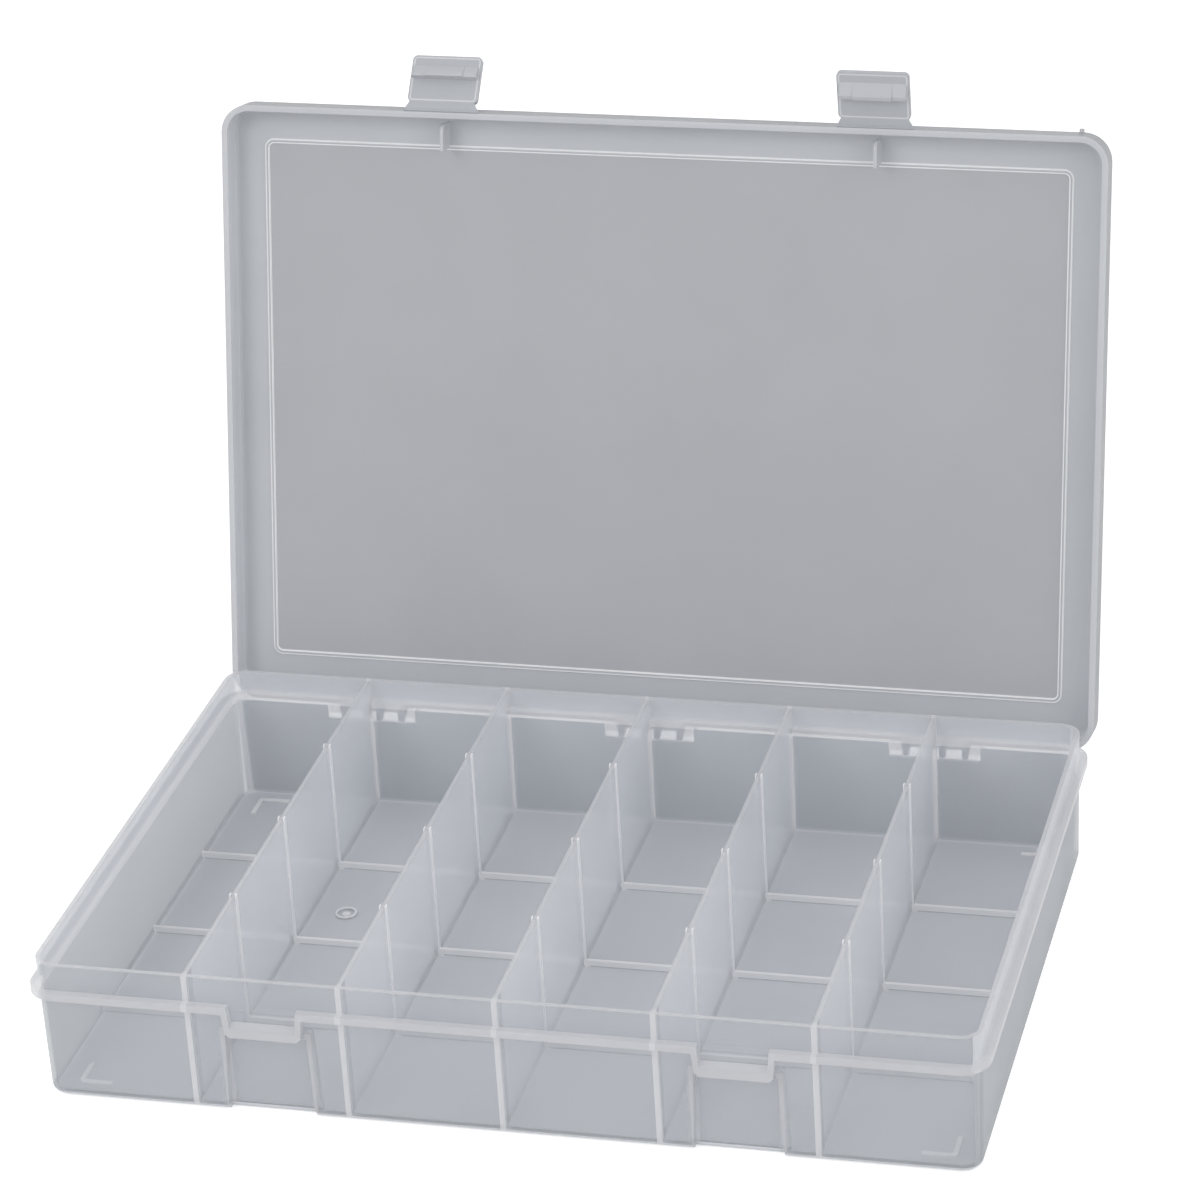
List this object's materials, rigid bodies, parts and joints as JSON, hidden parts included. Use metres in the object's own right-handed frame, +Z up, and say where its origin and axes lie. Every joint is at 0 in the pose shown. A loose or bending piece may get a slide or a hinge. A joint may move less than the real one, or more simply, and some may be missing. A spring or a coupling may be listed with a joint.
{
  "type": "compartment storage box",
  "caption": "Shallow rectangular plastic box with fixed full-height dividers, a flat lid on rear snap hinges and two flip-down front latches; lid shown open.",
  "frame": {"origin": "centre of the tray's flat underside, on the surface it stands on", "axes": "+X along the box to the right seen from the front, +Y from the latches to the hinges, +Z up"},
  "size_m": [0.3334, 0.2975, 0.2831],
  "materials": {
    "tray": "frosted clear polypropylene",
    "lid": "frosted clear polypropylene",
    "latch": "frosted clear polypropylene"
  },
  "bodies": {
    "tray": {"tray": "tray"},
    "lid": {"lid": "lid"},
    "latch_left": {"latch_left": "latch"},
    "latch_right": {"latch_right": "latch"}
  },
  "joints": [
    {"name": "lid_hinge", "type": "hinge", "parent": "tray", "child": "lid", "pos_m": [0, 0.1141, 0.0388], "axis": [1, 0, 0], "range_deg": [0, 102.3]},
    {"name": "latch_left_hinge", "type": "hinge", "parent": "lid", "child": "latch_left", "pos_m": [-0.08155, 0.16756, 0.26147], "axis": [1, 0, 0], "range_deg": [-30, 120]},
    {"name": "latch_right_hinge", "type": "hinge", "parent": "lid", "child": "latch_right", "pos_m": [0.08155, 0.16756, 0.26147], "axis": [1, 0, 0], "range_deg": [-78, 72]}
  ]
}
